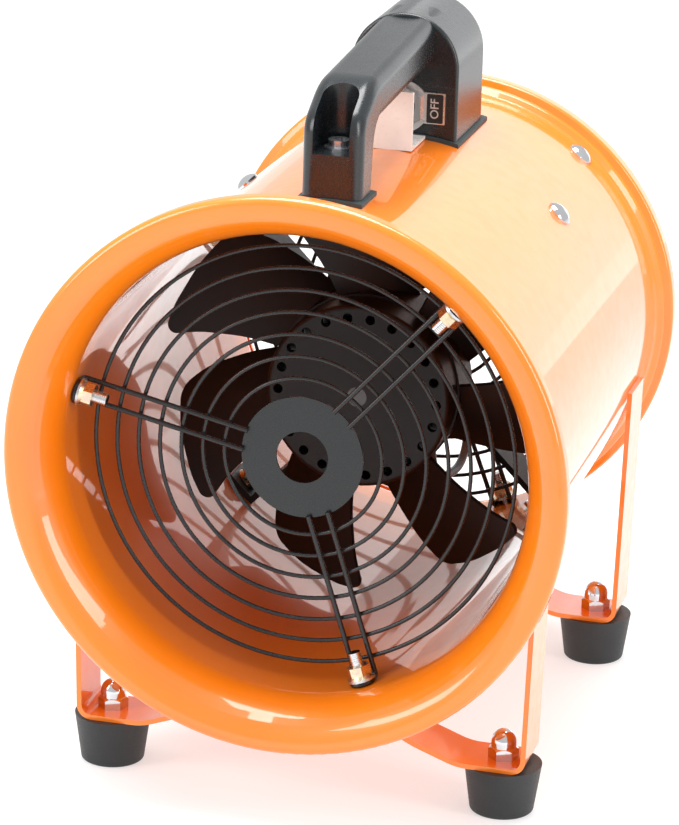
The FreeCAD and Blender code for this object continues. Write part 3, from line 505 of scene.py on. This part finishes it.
def stud_thread_spots():
    """A thread crest each pitch along the bare end of every guard bolt."""
    low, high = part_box("guard_bolts")
    middle = (low.y + high.y) / 2
    reach = (high.y - low.y) / 2 - BOLT_HEAD_R
    spots = []
    for guard in GUARDS.values():
        y = middle + guard["side"] * reach
        for angle in guard["angles"]:
            for turn in range(THREAD_TURNS):
                place = on_wheel(STUD_END_R + (turn + THREAD_START) * THREAD_PITCH, angle, y)
                spots.append((place, place - Vector((0.0, y, AXIS_Z))))
    return spots


def stud_threads():
    """Rings that stand a hair proud of the bolts, as the crests of their threads."""
    tree, start, close = tree_with_inputs("thread_builder", {"Stud Radius": STUD_R, "Crest": CREST_R})
    ring = tree.nodes.new("GeometryNodeCurvePrimitiveCircle")
    ring.inputs["Resolution"].default_value = 28
    link(tree, start.outputs["Stud Radius"], ring.inputs["Radius"])
    crest = tree.nodes.new("GeometryNodeCurvePrimitiveCircle")
    crest.inputs["Resolution"].default_value = 6
    link(tree, start.outputs["Crest"], crest.inputs["Radius"])
    swept = tree.nodes.new("GeometryNodeCurveToMesh")
    link(tree, ring.outputs["Curve"], swept.inputs["Curve"])
    link(tree, crest.outputs["Curve"], swept.inputs["Profile Curve"])
    close(copies_on_points(tree, start, swept.outputs["Mesh"]), FINISHES["zinc_steel"])
    built_by(seed_points("guard_bolt_threads", stud_thread_spots()), tree, "frame")


# Legend on the switch plate

def flat_plate(name, left, right, low, high, y, corner):
    """A thin panel with rounded corners that faces -Y."""
    mesh = bmesh.new()
    rim = []
    for cx, cz, start in ((right, high, 0), (left, high, 90), (left, low, 180), (right, low, 270)):
        x = cx - corner if cx == right else cx + corner
        z = cz - corner if cz == high else cz + corner
        for step in range(CORNER_STEPS + 1):
            a = math.radians(start + 90.0 / CORNER_STEPS * step)
            rim.append(mesh.verts.new((x + corner * math.cos(a), y, z + corner * math.sin(a))))
    grown = bmesh.ops.extrude_face_region(mesh, geom=[mesh.faces.new(rim)])
    raised = [v for v in grown["geom"] if isinstance(v, bmesh.types.BMVert)]
    bmesh.ops.translate(mesh, verts=raised, vec=(0.0, -LEGEND_RELIEF, 0.0))
    bmesh.ops.recalc_face_normals(mesh, faces=mesh.faces)
    data = bpy.data.meshes.new(name)
    mesh.to_mesh(data)
    mesh.free()
    return placed(name, data)


def lettering(name, word, x, z, y):
    """A word that reads upwards on a face that looks along -Y, made a mesh with its place in it."""
    curve = bpy.data.curves.new(name, "FONT")
    curve.body = word
    curve.size = LEGEND_TEXT
    curve.extrude = LEGEND_RELIEF / 2
    curve.offset = LEGEND_TEXT * LEGEND_BOLDNESS
    curve.align_x = "CENTER"
    curve.align_y = "CENTER"
    maker = placed(name + "_text", curve)
    bpy.context.view_layer.update()
    data = bpy.data.meshes.new_from_object(maker.evaluated_get(bpy.context.evaluated_depsgraph_get()))
    bpy.data.objects.remove(maker)
    upright = Matrix.Rotation(math.radians(90), 4, "X")
    upward = Matrix.Rotation(math.radians(-90), 4, "Y")
    data.transform(Matrix.Translation((x, y, z)) @ upward @ upright)
    return placed(name, data)


def switch_legend():
    """Dark panels on both ends of the plate, each with its word in bare metal."""
    low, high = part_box("legend_plate")
    y = low.y
    middle = (low.z + high.z) / 2
    outer = high.x - LEGEND_BORDER
    for side, word in ((1, "OFF"), (-1, "ON")):
        left, right = sorted((side * (outer - LEGEND_PANEL_W), side * outer))
        panel = flat_plate(f"legend_panel_{word.lower()}", left, right, middle - LEGEND_PANEL_H / 2,
                           middle + LEGEND_PANEL_H / 2, y, LEGEND_CORNER)
        centre = (left + right) / 2
        letters = lettering(f"legend_word_{word.lower()}", word, centre, middle, y - LEGEND_RELIEF)
        for piece, finish in ((panel, LEGEND_INK), (letters, FINISHES["legend_metal"])):
            piece.data.materials.append(finish)
            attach(piece, "frame")


dress_cad_nodes()
guard_weld_dabs()
stud_threads()
switch_legend()


# Stage

def pale_floor():
    finish, _, _ = new_finish("pale_floor", **{
        "Base Color": (FLOOR_GREY, FLOOR_GREY, FLOOR_GREY, 1.0), "Roughness": 0.9,
        "Emission Color": (1.0, 1.0, 1.0, 1.0), "Emission Strength": FLOOR_GLOW})
    mesh = bpy.data.meshes.new("floor")
    corners = [(x * FLOOR_HALF, y * FLOOR_HALF, 0.0) for x, y in ((-1, -1), (1, -1), (1, 1), (-1, 1))]
    mesh.from_pydata(corners, [], [(0, 1, 2, 3)])
    mesh.materials.append(finish)
    placed("floor", mesh)


def soft_box(name, place, width, height, power):
    light = bpy.data.lights.new(name, "AREA")
    light.shape = "RECTANGLE"
    light.size = width
    light.size_y = height
    light.energy = power
    lamp = placed(name, light)
    lamp.location = place
    lamp.visible_camera = False
    lamp.rotation_mode = "QUATERNION"
    lamp.rotation_quaternion = (LIGHT_AIM - Vector(place)).to_track_quat("-Z", "Y")


def studio_light():
    """White behind the object, a dimmer room round it, and four soft boxes."""
    world = bpy.data.worlds.new("studio")
    world.use_nodes = True
    tree = world.node_tree
    seen = tree.nodes.new("ShaderNodeLightPath").outputs["Is Camera Ray"]
    link(tree, ranged(tree, seen, 0.0, 1.0, ROOM_LIGHT, 1.0), tree.nodes["Background"].inputs["Strength"])
    tree.nodes["Background"].inputs["Color"].default_value = (1.0, 1.0, 1.0, 1.0)
    bpy.context.scene.world = world
    for name, sizes in SOFT_BOXES.items():
        soft_box(name, *sizes)


def camera():
    a = math.radians(CAMERA_AZIMUTH)
    e = math.radians(CAMERA_ELEVATION)
    back = Vector((math.sin(a) * math.cos(e), -math.cos(a) * math.cos(e), math.sin(e)))
    right = Vector((math.cos(a), math.sin(a), 0.0))
    up = back.cross(right)
    roll = math.radians(CAMERA_ROLL)
    x_axis = right * math.cos(roll) + up * math.sin(roll)
    y_axis = up * math.cos(roll) - right * math.sin(roll)
    data = bpy.data.cameras.new("camera")
    data.lens = CAMERA_LENS
    data.clip_end = CAMERA_REACH
    eye = placed("camera", data)
    turn = Matrix((x_axis, y_axis, back)).transposed().to_4x4()
    eye.matrix_world = Matrix.Translation(CAMERA_TARGET + back * CAMERA_DISTANCE) @ turn
    bpy.context.scene.camera = eye


pale_floor()
studio_light()
camera()
bpy.context.scene.view_settings.view_transform = "Standard"
